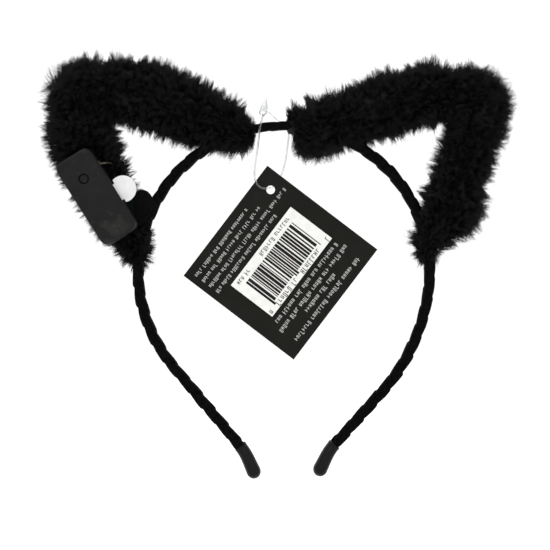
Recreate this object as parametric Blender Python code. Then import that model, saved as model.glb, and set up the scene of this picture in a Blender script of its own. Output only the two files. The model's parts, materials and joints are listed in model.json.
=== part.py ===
"""Light-up animal-ears headband, built from its separate pieces.

Metres, +Z up. The headband stands as it is worn: the hoop lies in the XZ plane, the wearer
looks along +Y, and the battery box is on the back, towards -Y. The origin is on the inner
face of the band at the crown, where the band rests on the head.
"""

import math

import bmesh
import bpy
import numpy as np
from mathutils import Matrix, Vector

MM = 0.001
GAP = 0.3  # clearance between neighbouring pieces, mm

# Driving dimensions, in millimetres -----------------------------------------------------
HOOP_RADIUS = 60.0  # centreline of the band over the head
CROWN_Z = 2.5  # height of the band's centreline over its inner face at the crown
HOOP_STEP = 8.5  # spacing of the sections along the band

# Each side of the hoop, from the crown: (bend radius, or 0 for straight; degrees or length)
LEFT_RUN = [(HOOP_RADIUS, 130.0), (0, 43.0)]
RIGHT_RUN = [(HOOP_RADIUS, 98.0), (78.0, 34.0), (0, 28.4)]
TIP_RUN = [(-25.0, 16.0), (0, 9.0)]  # the ends flare back towards the vertical

CORE_WIDTH, CORE_THICK, CORE_SHIFT = 4.8, 1.4, -0.6
WRAP_HALF_WIDTH, WRAP_HALF_THICK = 4.0, 2.5
CAP_LENGTH, CAP_CORE_DEPTH = 15.0, 8.5

EAR_WIRE_RADIUS, EAR_WIRE_Y = 0.8, -1.0
LED_WIRE_RADIUS, LED_BEAD_RADIUS, LED_Y, LED_OUT, LED_UNDER = 0.4, 1.0, 1.1, 3.3, 0.8
CHANNEL_RADIUS = 2.7

# Centreline of each ear's fur as (x, z, radius), x and z from the band's centreline at the crown
LEFT_EAR = [
    (-13.5, -1.6, 7.5),
    (-21.0, -1.8, 9.5),
    (-32.5, 4.0, 13.0),
    (-47.5, 10.5, 13.5),
    (-64.0, 13.2, 13.3),
    (-84.0, 13.0, 12.6),
    (-84.0, -5.0, 13.0),
    (-77.5, -21.0, 12.0),
    (-70.5, -33.0, 11.5),
    (-63.0, -43.5, 11.0),
    (-60.9, -53.5, 8.5),
]
RIGHT_EAR = [
    (6.0, -1.2, 8.5),
    (13.0, -1.5, 11.5),
    (26.0, 4.0, 12.5),
    (41.6, 8.6, 13.2),
    (57.0, 11.5, 13.5),
    (79.0, 12.0, 12.6),
    (78.0, -8.0, 12.0),
    (72.0, -24.0, 12.3),
    (66.0, -37.5, 12.0),
    (60.8, -53.0, 9.0),
]
# Where each ear's wire lies beside the band: (mm of band from the crown, mm out of its centreline)
LEFT_INNER_RUN = [(-17.0, 3.6), (-20.0, 3.6), (-24.3, 3.6), (-26.6, 4.7)]
LEFT_OUTER_RUN = [(-74.3, 8.4), (-76.9, 4.6), (-79.4, 3.6), (-86.0, 3.6)]
RIGHT_INNER_RUN = [(10.6, 3.6), (14.0, 3.6), (17.8, 3.6), (20.1, 4.7)]
RIGHT_OUTER_RUN = [(74.3, 8.4), (76.9, 4.6), (79.4, 3.6), (86.0, 3.6)]
BINDING_LENGTH = 5.0
BINDING_AT = {"left_inner": -21.5, "left_outer": -82.0, "right_inner": 15.0, "right_outer": 82.0}
BINDING_THICK = 0.6
LEFT_SLOT, RIGHT_SLOT = (-18.0, -12.8), (6.2, 11.4)  # where the lead goes under the ribbon
LEDS_PER_EAR = 5

# Battery box, in its own frame: X across, Y towards its upper end, Z out of the fur
BOX_CENTRE = (-75.25, -7.0, -30.0)
BOX_TURN_DEG = -32.4
BOX_WIDTH, BOX_LENGTH, BOX_DEPTH = 16.0, 38.0, 11.0
BOX_WALL, BOX_FLOOR, BOX_SPLIT = 1.2, 1.1, 7.2
BOX_CORNER, BOX_RIM, BOX_SEAM = 3.0, 0.9, 0.15  # its corners' radius and its edges' roundings
BUTTON_AT, BUTTON_RADIUS = (-0.3, 8.4), 1.8
CELL_RADIUS, CELL_HEIGHT, CELL_Z = 5.8, 5.4, 2.0
CELL_LOWER_Y, CELL_UPPER_Y = -11.65, 0.25
TAB_Y, TAB_Z, TAB_THICK, TAB_NECK, TAB_HEAD_X, TAB_HEAD_RADIUS = -3.0, 7.75, 0.25, 3.65, 10.6, 5.4
LEAD_EXIT_Y, LEAD_EXIT_Z = 11.0, 4.9
FELT_X, FELT_Y = (-7.0, 18.3), (-18.4, -5.7)

# Hang tag, in its own frame: X and Y along its edges, Z towards the reader
TAG_SIDE, TAG_THICK, TAG_HOLE_RADIUS, TAG_HOLE_INSET = 57.0, 0.5, 1.8, 7.1
TAG_CORNER = (-6.84, -16.36)
TAG_TURN_DEG = 37.3
LABEL_X, LABEL_Y, LABEL_THICK = (17.9, 39.3), (-48.3, -7.7), 0.2
LOOP_RADIUS = 0.4
LOOP_HANG_AT = (-5.5, -25.45)  # where the loop bears on the top of the tag's hole

# The tag's loop, as (x, y, z) from the band's centreline at the crown: from the lock, down the
# front, through the tag, up the back of the band and over it to the lock again
LOOP_ROUTE = [
    (-8.5, -4.75, 4.6),
    (-9.2, -5.5, 1.4),
    (-9.9, -5.9, -1.7),
    (-10.3, -5.6, -5.0),
    (-11.0, -4.4, -10.5),
    (-11.7, -3.1, -15.5),
    (-12.1, -2.2, -19.2),
    (-11.8, -1.8, -22.4),
    (-10.2, -1.7, -25.1),
    (-7.8, -1.5, -25.9),
    (-6.1, -1.0, -25.7),
    (LOOP_HANG_AT[0], 0.0, LOOP_HANG_AT[1]),
    (-4.9, 1.0, -25.2),
    (-3.5, 1.6, -23.9),
    (-1.6, 1.9, -21.0),
    (-0.1, 2.5, -17.2),
    (0.9, 3.6, -12.8),
    (1.6, 4.9, -7.5),
    (2.1, 5.8, -3.2),
    (1.6, 6.0, -0.6),
    (-0.4, 5.8, 1.2),
    (-2.8, 4.9, 2.9),
    (-5.0, 2.7, 4.7),
    (-6.7, -0.6, 5.6),
    (-7.9, -3.2, 5.6),
]
# The lock's head, as (x, y, z, radius)
LOCK_ROUTE = [
    (-8.9, -5.0, 3.4, 0.9),
    (-8.6, -4.7, 5.2, 1.5),
    (-8.1, -4.1, 7.4, 1.3),
    (-7.4, -3.2, 10.6, 0.35),
]


# Scene and material helpers ---------------------------------------------------------------
def clear_scene():
    for obj in list(bpy.data.objects):
        bpy.data.objects.remove(obj, do_unlink=True)


def material(name, colour, roughness, metallic=0.0, alpha=1.0):
    made = bpy.data.materials.new(name)
    made.use_nodes = True
    shader = made.node_tree.nodes["Principled BSDF"]
    shader.inputs["Base Color"].default_value = (*colour, 1.0)
    shader.inputs["Roughness"].default_value = roughness
    shader.inputs["Metallic"].default_value = metallic
    shader.inputs["Alpha"].default_value = alpha
    return made


def add_object(name, data, finish, parent=None):
    obj = bpy.data.objects.new(name, data)
    bpy.context.scene.collection.objects.link(obj)
    if finish is not None:
        obj.data.materials.append(finish)
    obj.parent = parent
    return obj


def add_frame(name, location, matrix=None):
    """An empty that places the pieces parented to it; location in mm."""
    frame = bpy.data.objects.new(name, None)
    bpy.context.scene.collection.objects.link(frame)
    turn = matrix or Matrix.Identity(3)
    frame.matrix_world = Matrix.Translation(Vector(location) * MM) @ turn.to_4x4()
    return frame


def finish_mesh(mesh, sharp_degrees=35.0):
    mesh.shade_smooth()
    mesh.set_sharp_from_angle(angle=math.radians(sharp_degrees))
    return mesh


def mesh_from(name, fill):
    """A mesh made by fill(bm) in mm, with its normals outwards."""
    bm = bmesh.new()
    fill(bm)
    bmesh.ops.scale(bm, vec=(MM, MM, MM), verts=bm.verts)
    bmesh.ops.recalc_face_normals(bm, faces=bm.faces)
    mesh = bpy.data.meshes.new(name)
    bm.to_mesh(mesh)
    bm.free()
    return finish_mesh(mesh)


def cut(obj, cutters, solver="EXACT"):
    """Cuts each cutter from obj with a Boolean, and hides the cutter."""
    for cutter in cutters:
        cutter.hide_render = True
        cutter.display_type = "WIRE"
        modifier = obj.modifiers.new("Cut " + cutter.name, "BOOLEAN")
        modifier.operation = "DIFFERENCE"
        modifier.solver = solver
        modifier.object = cutter


# Shape helpers, all in mm -----------------------------------------------------------------
def skin_rings(bm, rings, closed_caps=True):
    """Faces between successive rings of points, with flat caps on the two ends."""
    loops = [[bm.verts.new(point) for point in ring] for ring in rings]
    for low, high in zip(loops, loops[1:]):
        for i in range(len(low)):
            j = (i + 1) % len(low)
            bm.faces.new((low[i], low[j], high[j], high[i]))
    if closed_caps:
        bm.faces.new(loops[0])
        bm.faces.new(loops[-1])
    return loops


def box(low, high):
    """A fill function for an axis-aligned block."""

    def fill(bm):
        made = bmesh.ops.create_cube(bm, size=1.0)
        size = [b - a for a, b in zip(low, high)]
        middle = [(a + b) / 2 for a, b in zip(low, high)]
        bmesh.ops.scale(bm, vec=size, verts=made["verts"])
        bmesh.ops.translate(bm, vec=middle, verts=made["verts"])

    return fill


def cylinder(centre, radius, z_low, z_high, sides=24):
    """A fill function for a cylinder along Z."""

    def fill(bm):
        made = bmesh.ops.create_cone(
            bm, cap_ends=True, segments=sides, radius1=radius, radius2=radius, depth=z_high - z_low
        )
        bmesh.ops.translate(bm, vec=(*centre, (z_low + z_high) / 2), verts=made["verts"])

    return fill


def plate(outline, z_low, z_high):
    """A fill function for a flat outline of (x, y) points, extruded along Z."""

    def fill(bm):
        base = bm.faces.new([bm.verts.new((x, y, z_low)) for x, y in outline])
        raised = bmesh.ops.extrude_face_region(bm, geom=[base])
        top = [item for item in raised["geom"] if isinstance(item, bmesh.types.BMVert)]
        bmesh.ops.translate(bm, vec=(0, 0, z_high - z_low), verts=top)

    return fill


def turned(profile, centre, sides=24):
    """A fill function for a profile of (radius, z) points turned about a vertical axis."""

    def fill(bm):
        rings = []
        for radius, z in profile:
            turn = [2 * math.pi * i / sides for i in range(sides)]
            rings.append(
                [(centre[0] + radius * math.cos(a), centre[1] + radius * math.sin(a), z) for a in turn]
            )
        skin_rings(bm, rings)

    return fill


def smooth_through(points, per_span=4):
    """Points on a Catmull-Rom curve through the given ones, of any number of coordinates."""
    known = [np.array(p, float) for p in points]
    known = [2 * known[0] - known[1], *known, 2 * known[-1] - known[-2]]
    made = []
    for a, b, c, d in zip(known, known[1:], known[2:], known[3:]):
        for step in range(per_span):
            t = step / per_span
            bend = (2 * a - 5 * b + 4 * c - d) * t**2 + (3 * b - a - 3 * c + d) * t**3
            made.append(0.5 * (2 * b + (c - a) * t + bend))
    return [*made, known[-2]]


def evenly(points, spacing):
    """The same line with its points evenly spaced."""
    line = np.array(points)
    along = np.concatenate([[0], np.cumsum(np.linalg.norm(np.diff(line, axis=0), axis=1))])
    count = max(2, round(along[-1] / spacing) + 1)
    at = np.linspace(0, along[-1], count)
    return np.stack([np.interp(at, along, line[:, k]) for k in range(line.shape[1])], axis=1)


def tube_rings(line, radii, sides):
    """Round rings along a line, each mitred half-way between its two spans."""
    line = [Vector(p) for p in line]
    spans = [(b - a).normalized() for a, b in zip(line, line[1:])]
    side = spans[0].cross(Vector((0, 1, 0)))
    if side.length < 0.1:
        side = spans[0].cross(Vector((1, 0, 0)))
    rings = []
    for i, point in enumerate(line):
        before, after = spans[max(i - 1, 0)], spans[min(i, len(spans) - 1)]
        tangent = (before + after).normalized()
        side = (side - tangent * side.dot(tangent)).normalized()
        other = tangent.cross(side)
        ring = []
        for k in range(sides):
            angle = 2 * math.pi * (k + 0.5) / sides
            spoke = (side * math.cos(angle) + other * math.sin(angle)) * radii[i]
            # Slide each spoke's end along the span so that it lies on the mitre plane.
            flat = spoke - before * spoke.dot(before)
            flat = flat.normalized() * radii[i] if flat.length > 0 else spoke
            slide = -flat.dot(tangent) / before.dot(tangent)
            ring.append(point + flat + before * slide)
        rings.append(ring)
    return rings


def curve_tube(name, line, radius, finish, resolution=1, scales=None, parent=None):
    """A round tube on a POLY spline, points in mm, with filled ends."""
    curve = bpy.data.curves.new(name, "CURVE")
    curve.dimensions = "3D"
    curve.bevel_depth = radius * MM
    curve.bevel_resolution = resolution
    curve.use_fill_caps = True
    curve.resolution_u = 1
    spline = curve.splines.new("POLY")
    spline.points.add(len(line) - 1)
    for i, point in enumerate(line):
        spline.points[i].co = (*(Vector(point) * MM), 1.0)
        spline.points[i].radius = 1.0 if scales is None else scales[i]
    return add_object(name, curve, finish, parent)


# The hoop ---------------------------------------------------------------------------------
def hoop_station(along):
    """(x, z, outward x, outward z) of the band's centreline, at a length from the crown.

    Positive lengths run down the right side and negative ones down the left.
    """
    side = 1 if along >= 0 else -1
    left = abs(along)
    x, z, heading = 0.0, CROWN_Z, 0.0  # heading is the slope below horizontal, in radians
    for radius, amount in (RIGHT_RUN if side > 0 else LEFT_RUN) + TIP_RUN:
        length = abs(radius) * math.radians(amount) if radius else amount
        step = min(left, length)
        if radius:
            turn = step / radius
            centre = (x - radius * math.sin(heading), z - radius * math.cos(heading))
            heading += turn
            x = centre[0] + radius * math.sin(heading)
            z = centre[1] + radius * math.cos(heading)
        else:
            x += step * math.cos(heading)
            z -= step * math.sin(heading)
        left -= step
        if left <= 0:
            break
    x += left * math.cos(heading)
    z -= left * math.sin(heading)
    return side * x, z, side * math.sin(heading), math.cos(heading)


def run_length(run):
    return sum(abs(r) * math.radians(a) if r else a for r, a in run)


def hoop_point(along, out=0.0, y=0.0):
    """A point beside the band: out from its centreline, away from the head, and y across it."""
    x, z, out_x, out_z = hoop_station(along)
    return Vector((x + out * out_x, y, z + out * out_z))


def section_ring(along, section):
    """A section of (y, out) points placed across the band."""
    return [hoop_point(along, out, y) for y, out in section]


def stations(low, high):
    """Lengths along the band, on one shared grid so that nested pieces keep an even gap."""
    first = math.ceil(low / HOOP_STEP + 0.2)
    last = math.floor(high / HOOP_STEP - 0.2)
    return [low, *(HOOP_STEP * i for i in range(first, last + 1)), high]


def oval_section(half_y, half_out, sides, power=2.6):
    """A rounded-rectangle section as a superellipse."""
    made = []
    for i in range(sides):
        angle = 2 * math.pi * (i + 0.5) / sides
        c, s = math.cos(angle), math.sin(angle)
        made.append(
            (
                half_y * math.copysign(abs(c) ** (2 / power), c),
                half_out * math.copysign(abs(s) ** (2 / power), s),
            )
        )
    return made


def block_section(half_y, out_low, out_high, chamfer):
    """A rectangle section with its corners cut off."""
    corners = (
        (half_y, out_high, -1, -1),
        (-half_y, out_high, 1, -1),
        (-half_y, out_low, 1, 1),
        (half_y, out_low, -1, 1),
    )
    made = []
    for index, (y, out, in_y, in_out) in enumerate(corners):
        ends = [(y, out + in_out * chamfer), (y + in_y * chamfer, out)]
        made += ends if index % 2 == 0 else ends[::-1]
    return made


def band_sweep(low, high, section):
    """A fill function for a section swept along the band."""

    def fill(bm):
        skin_rings(bm, [section_ring(s, section) for s in stations(low, high)])

    return fill


def band_sleeve(low, high, outer, inner):
    """A fill function for a sleeve on the band, between two sections of as many points."""

    def fill(bm):
        outside = skin_rings(bm, [section_ring(s, outer) for s in stations(low, high)], False)
        inside = skin_rings(bm, [section_ring(s, inner) for s in stations(low, high)], False)
        for end in (0, -1):
            for i in range(len(outer)):
                j = (i + 1) % len(outer)
                bm.faces.new((outside[end][i], outside[end][j], inside[end][j], inside[end][i]))

    return fill


LEFT_END, RIGHT_END = -run_length(LEFT_RUN), run_length(RIGHT_RUN)


def make_band():
    core_half = CORE_WIDTH / 2
    core_low, core_high = CORE_SHIFT - CORE_THICK / 2, CORE_SHIFT + CORE_THICK / 2
    core = block_section(core_half, core_low, core_high, 0.3)
    reach = CAP_CORE_DEPTH - GAP
    mesh = mesh_from("band_core", band_sweep(LEFT_END - reach, RIGHT_END + reach, core))
    add_object("band_core", mesh, STEEL)

    outer = oval_section(WRAP_HALF_WIDTH, WRAP_HALF_THICK, 12)
    inner = oval_section(core_half + 0.55, 1.75, 12, power=5.0)
    inner = [(y, max(out, core_low - GAP) if out < 0 else out) for y, out in inner]
    mesh = mesh_from("ribbon_wrap", band_sleeve(LEFT_END, RIGHT_END, outer, inner))
    wrap = add_object("ribbon_wrap", mesh, VELVET)
    slots = []
    for name, (low, high) in (("left", LEFT_SLOT), ("right", RIGHT_SLOT)):
        sides = [(LED_Y + 0.9, 0.6), (LED_Y + 0.9, 4.0), (LED_Y - 0.9, 4.0), (LED_Y - 0.9, 0.6)]
        slots.append(add_object("slot_" + name, mesh_from("slot", band_sweep(low, high, sides)), None))
    cut(wrap, slots)


def make_tip_cap(name, side):
    """A vinyl cap with a bulbous round end, pushed over the end of the core."""
    start = side * ((RIGHT_END if side > 0 else -LEFT_END) + GAP)
    rings = []
    for share in (0.0, 0.06, 0.3, 0.55, 0.72, 0.84, 0.92, 0.97, 1.0):
        to_end = (1 - share) * CAP_LENGTH
        swell = 1 + 0.2 * share**1.5 - (0.1 if share == 0 else 0)
        dome = 3.2
        closing = 1.0 if to_end > dome else math.sqrt(max(0.04, 1 - (1 - to_end / dome) ** 2))
        section = oval_section(3.55 * swell * closing, 2.6 * swell * closing, 16, power=2.3)
        rings.append(section_ring(start + side * share * CAP_LENGTH, section))
    cap = add_object(name, mesh_from(name, lambda bm: skin_rings(bm, rings)), VINYL)
    room = 1.5 * GAP
    low, high = CORE_SHIFT - CORE_THICK / 2 - room, CORE_SHIFT + CORE_THICK / 2 + room
    socket = block_section(CORE_WIDTH / 2 + room, low, high, 0.3)
    ends = sorted((start - side * 2.0, start + side * CAP_CORE_DEPTH))
    cut(cap, [add_object("socket_" + name, mesh_from("socket", band_sweep(*ends, socket)), None)])


# The ears -----------------------------------------------------------------------------------
def ear_line(route, inner_run, outer_run):
    """The line of a wire in an ear: along the band, round the ear, and along the band again."""
    points = [tuple(hoop_point(s, out).xz) for s, out in inner_run]
    points += [(x, z + CROWN_Z) for x, z, _ in route[2:-2]]
    points += [tuple(hoop_point(s, out).xz) for s, out in outer_run]
    return smooth_through(points, 3)


def make_ear_wire(name, route, inner_run, outer_run):
    line = [(x, EAR_WIRE_Y, z) for x, z in ear_line(route, inner_run, outer_run)]
    curve_tube(name, line, EAR_WIRE_RADIUS, STEEL)


def make_binding(name, middle):
    """Tape wound round the band and the end of an ear's wire."""
    low, high = middle - BINDING_LENGTH / 2, middle + BINDING_LENGTH / 2
    inside = block_section(WRAP_HALF_WIDTH + GAP, -WRAP_HALF_THICK - GAP, 4.7, 1.0)
    outside = block_section(
        WRAP_HALF_WIDTH + GAP + BINDING_THICK,
        -WRAP_HALF_THICK - GAP - BINDING_THICK,
        4.7 + BINDING_THICK,
        1.2,
    )
    add_object(name, mesh_from(name, band_sleeve(low, high, outside, inside)), TAPE)


def make_fur(name, route, inner_run, outer_run, bindings, more_cutters):
    """Faux-fur trim round an ear's wire, with room for the band, the wire and the lights."""
    line = [(x, 0.0, z + CROWN_Z) for x, z, _ in route]
    rings = tube_rings(line, [r for _, _, r in route], 14)
    fur = add_object(name, mesh_from(name, lambda bm: skin_rings(bm, rings)), FUR)
    side = math.copysign(1, outer_run[0][0])
    channel = ear_line(route, inner_run, outer_run)
    channel = tube_rings([(x, 0.0, z) for x, z in channel], [CHANNEL_RADIUS] * len(channel), 10)
    cutters = [add_object("wire_channel_" + name, mesh_from("c", lambda bm: skin_rings(bm, channel)), None)]
    band = block_section(WRAP_HALF_WIDTH + 0.4, -WRAP_HALF_THICK - 0.4, 4.8, 0.9)
    pocket = block_section(WRAP_HALF_WIDTH + 1.3, -WRAP_HALF_THICK - 1.3, 5.7, 1.3)
    for index, (near, far) in enumerate(((side * 2.0, side * 40.0), (side * 56.0, side * 102.0))):
        mesh = mesh_from("band_channel", band_sweep(*sorted((near, far)), band))
        cutters.append(add_object(f"band_channel_{name}_{index}", mesh, None))
    for middle in bindings:
        reach = BINDING_LENGTH / 2 + 0.4
        mesh = mesh_from("pocket", band_sweep(middle - reach, middle + reach, pocket))
        cutters.append(add_object(f"binding_pocket_{name}_{middle}", mesh, None))
    # The channels cross one another at shallow angles.
    cut(fur, cutters + more_cutters, solver="MANIFOLD")


def lead_points():
    """The light string's lead, from the switch board out through the side of the box."""
    local = [
        (3.6, 13.4, LEAD_EXIT_Z),
        (5.0, 12.0, LEAD_EXIT_Z),
        (7.4, LEAD_EXIT_Y, LEAD_EXIT_Z),
        (9.8, 10.1, 4.7),
        (11.5, 9.4, 2.8),
        (11.6, 8.6, -0.4),
        (10.2, 8.0, -3.4),
        (7.2, 8.6, -6.0),
    ]
    return [tuple(BOX_TURN @ Vector(p) + BOX_ORIGIN) for p in local]


def led_line():
    """The whole light string: the lead, the left ear, under the ribbon, and the right ear."""
    left = [(x, LED_Y, z + CROWN_Z) for x, z, _ in LEFT_EAR[2:8]][::-1]
    left[0] = (-80.2, LED_Y, -14.0 + CROWN_Z)
    right = [(x, LED_Y, z + CROWN_Z) for x, z, _ in RIGHT_EAR[2:-2]]
    band = [(-26.6, LED_OUT + 1.0), (-24.2, LED_OUT), (-20.0, LED_OUT), (-17.4, LED_OUT)]
    band += [(-13.3, LED_UNDER), (-9.0, LED_UNDER), (-3.0, LED_UNDER), (2.0, LED_UNDER)]
    band += [(6.8, LED_UNDER), (10.9, LED_OUT), (14.0, LED_OUT), (17.7, LED_OUT), (20.1, LED_OUT + 1.0)]
    crossing = [tuple(hoop_point(s, out, LED_Y)) for s, out in band]
    return smooth_through(lead_points() + left + crossing + right, 3)


def make_led_string():
    """One enamelled pair with a clear drop over each light."""
    line = evenly(led_line(), 2.5)
    scales = [1.0] * len(line)
    in_ear = [i for i, (x, _, z) in enumerate(line) if x < -30 and z > 0]
    past = [i for i, (x, _, z) in enumerate(line) if x > 28]
    for span in (in_ear, past):
        for k in range(LEDS_PER_EAR):
            at = span[round((k + 0.5) / LEDS_PER_EAR * (len(span) - 1))]
            scales[at] = LED_BEAD_RADIUS / LED_WIRE_RADIUS
    curve_tube("led_string", line, LED_WIRE_RADIUS, COPPER, scales=scales)


# The battery box ------------------------------------------------------------------------------
BOX_TURN = Matrix.Rotation(math.radians(BOX_TURN_DEG), 3, "Y") @ Matrix.Rotation(math.pi / 2, 3, "X")
BOX_ORIGIN = Vector((BOX_CENTRE[0], BOX_CENTRE[1], BOX_CENTRE[2] + CROWN_Z))


def in_box(name, fill, finish, frame):
    return add_object(name, mesh_from(name, fill), finish, frame)


def case_block(z_low, z_high, low_round, high_round, steps=3):
    """A fill function for a block of the case's outline, with its lower and upper rims rounded."""
    half_x, half_y = BOX_WIDTH / 2, BOX_LENGTH / 2
    levels = []
    for i in range(steps + 1):
        angle = math.pi / 2 * i / steps
        inset, rise = 1 - math.sin(angle), 1 - math.cos(angle)
        levels.append((inset * low_round, z_low + rise * low_round))
        levels.append((inset * high_round, z_high - rise * high_round))
    rings = []
    for inset, z in sorted(levels, key=lambda level: level[1]):
        x, y = half_x - inset, half_y - inset
        outline = rounded_outline((-x, -y), (x, y), BOX_CORNER - inset)
        rings.append([(px, py, z) for px, py in outline])
    return lambda bm: skin_rings(bm, rings)


def make_box_shells(frame):
    half_x, half_y = BOX_WIDTH / 2, BOX_LENGTH / 2
    in_x, in_y = half_x - BOX_WALL, half_y - BOX_WALL
    base = in_box("box_base", case_block(0, BOX_SPLIT, BOX_RIM, BOX_SEAM), CASE, frame)
    room = rounded_outline((-in_x, -in_y), (in_x, in_y), BOX_CORNER - BOX_WALL)
    hollow = plate(room, BOX_FLOOR, BOX_DEPTH)
    exit_hole = mesh_from("c", cylinder((0, 0), 1.8, -2.0, 2.0, 12))
    exit_hole.transform(Matrix.Rotation(math.pi / 2, 4, "Y"))
    exit_hole.transform(Matrix.Translation(Vector((half_x - 0.6, LEAD_EXIT_Y, LEAD_EXIT_Z)) * MM))
    cut(base, [in_box("box_hollow", hollow, None, frame), add_object("lead_hole", exit_hole, None, frame)])

    low = BOX_SPLIT + GAP
    cover = in_box("box_cover", case_block(low, BOX_DEPTH, BOX_SEAM, BOX_RIM), CASE, frame)
    inside = plate(room, low - 1, BOX_DEPTH - BOX_WALL)
    notch = box(
        (half_x - 2, TAB_Y - TAB_NECK - 0.5, low - 1), (half_x + 1, TAB_Y + TAB_NECK + 0.5, TAB_Z + 0.75)
    )
    opening = cylinder(BUTTON_AT, BUTTON_RADIUS + GAP, BOX_DEPTH - 3, BOX_DEPTH + 1, 20)
    cutters = (("cover_hollow", inside), ("tab_notch", notch), ("button_opening", opening))
    cut(cover, [in_box(name, fill, None, frame) for name, fill in cutters])


def make_box_pieces(frame):
    """What the box holds: cells, contacts, the board with its switch, and the lead's seal."""
    for name, y in (("cell_lower", CELL_LOWER_Y), ("cell_upper", CELL_UPPER_Y)):
        top, r = CELL_Z + CELL_HEIGHT, CELL_RADIUS
        rim = [(r, top - 0.8), (r - 1.0, top - 0.8), (r - 1.2, top)]
        profile = [(r - 0.5, CELL_Z), (r, CELL_Z + 0.5), *rim]
        in_box(name, turned(profile, (0, y), 20), CELL, frame)

    low, high = BOX_FLOOR + GAP, BOX_FLOOR + 2 * GAP
    strip = [(-3.5, -15.0), (6.5, -15.0), (6.5, 10.0), (6.0, 10.0), (6.0, -9.0), (-3.5, -9.0)]
    in_box("contact_negative", plate(strip, low, high), SPRING_STEEL, frame)
    side = [(-3.0, low), (8.6, low), (8.6, 3.1), (8.3, 3.1), (8.3, high), (-3.0, high)]
    contact = mesh_from("contact_positive", plate(side, -2.5, 2.5))
    contact.transform(Matrix(((0, 0, 1, 0), (1, 0, 0, 0), (0, 1, 0, 0), (0, 0, 0, 1))))
    add_object("contact_positive", contact, SPRING_STEEL, frame)
    bridge = box((-2.8, CELL_LOWER_Y - 2, TAB_Z + 0.55), (2.8, CELL_UPPER_Y + 2, TAB_Z + 0.85))
    in_box("cell_bridge", bridge, SPRING_STEEL, frame)

    in_box("switch_board", box((-5.6, 6.6, 3.4), (5.6, 17.2, 4.2)), BOARD, frame)
    x, y = BUTTON_AT
    switch = in_box("tact_switch", box((x - 2.25, y - 1.7, 4.5), (x + 2.25, y + 2.8, 6.7)), SWITCH, frame)
    well = cylinder(BUTTON_AT, 1.3, 5.0, 8.0, 16)
    cut(switch, [in_box("plunger_well", well, None, frame)])
    seal = in_box("lead_seal", cylinder((0, 0), 1.35, -0.75, 0.75, 12), GLUE, frame)
    bore = in_box("seal_bore", cylinder((0, 0), 0.8, -2.0, 2.0, 12), None, frame)
    for piece in (seal, bore):
        piece.location = Vector((BOX_WIDTH / 2 - 0.7, LEAD_EXIT_Y + 0.04, LEAD_EXIT_Z)) * MM
        piece.rotation_euler = (0, math.pi / 2, math.radians(-21.5))
    cut(seal, [bore])


def make_button(frame):
    """The push button and, under it, the switch's plunger."""
    x, y = BUTTON_AT
    top = BOX_DEPTH - 0.2
    flange, r = BUTTON_RADIUS + 0.9, BUTTON_RADIUS
    profile = [(flange, 9.0), (flange, 9.4), (r, 9.4), (r, top - 0.35), (r - 0.35, top), (0.9, top - 0.25)]
    button = in_box("power_button", turned(profile, (0, 0), 20), CASE, frame)
    button.location = Vector((x, y, 0)) * MM
    plunger = in_box("switch_plunger", cylinder((0, 0), 1.0, 5.9, 8.7, 14), SWITCH, frame)
    plunger.location = Vector((x, y, 0)) * MM


def make_insulation_tab(frame):
    """A film pulled out sideways before first use: a tongue with a round finger grip."""
    shoulder = 8.9
    start = math.acos((shoulder - TAB_HEAD_X) / TAB_HEAD_RADIUS)
    outline = [(-4.5, TAB_Y + TAB_NECK), (-4.5, TAB_Y - TAB_NECK), (shoulder, TAB_Y - TAB_NECK)]
    steps = 22
    for i in range(steps + 1):
        angle = -start + 2 * start * i / steps
        outline.append(
            (TAB_HEAD_X + TAB_HEAD_RADIUS * math.cos(angle), TAB_Y + TAB_HEAD_RADIUS * math.sin(angle))
        )
    outline.append((shoulder, TAB_Y + TAB_NECK))
    in_box("insulation_tab", plate(outline, TAB_Z, TAB_Z + TAB_THICK), FILM, frame)


def rounded_outline(low, high, radius, steps=4):
    """The outline of a rectangle with round corners."""
    made = []
    corners = ((high[0], high[1]), (low[0], high[1]), (low[0], low[1]), (high[0], low[1]))
    for quarter, (x, y) in enumerate(corners):
        cx = x - math.copysign(radius, x - (low[0] + high[0]) / 2)
        cy = y - math.copysign(radius, y - (low[1] + high[1]) / 2)
        for i in range(steps + 1):
            angle = math.pi / 2 * (quarter + i / steps)
            made.append((cx + radius * math.cos(angle), cy + radius * math.sin(angle)))
    return made


def make_box_backing(frame):
    """The foam pad and the felt that hold the box to the ear, and the tape over the lead."""
    pad = rounded_outline((-6.5, -17.0), (6.5, 17.0), 2.0, 3)
    in_box("foam_pad", plate(pad, -1.3, -0.3), FOAM, frame)
    felt = rounded_outline((FELT_X[0], FELT_Y[0]), (FELT_X[1], FELT_Y[1]), 4.0)
    in_box("felt_patch", plate(felt, -2.6, -1.6), FELT, frame)
    tape = [(11.3, -8.15), (7.2, -5.5), (7.2, -14.6)]
    in_box("holding_tape", plate(tape, -1.3, -1.0), GLOSS_TAPE, frame)


def box_pockets(frame):
    """What the fur leaves free for the box, its backing and its lead."""
    x, y = BOX_WIDTH / 2 + 0.7, BOX_LENGTH / 2 + 0.4
    shell = in_box("box_pocket", box((-x, -y, -1.7), (x, y, 25)), None, frame)
    low, high = (FELT_X[0] - 0.4, FELT_Y[0] - 0.4, -3.0), (FELT_X[1] + 8, FELT_Y[1] + 0.4, 25)
    felt = in_box("felt_pocket", box(low, high), None, frame)
    line = smooth_through(lead_points()[2:] + [(-80.2, LED_Y, -14.0 + CROWN_Z)], 3)
    rings = tube_rings(line, [1.9] * len(line), 8)
    tunnel = add_object("lead_tunnel", mesh_from("lead_tunnel", lambda bm: skin_rings(bm, rings)), None)
    return [shell, felt, tunnel]


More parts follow.
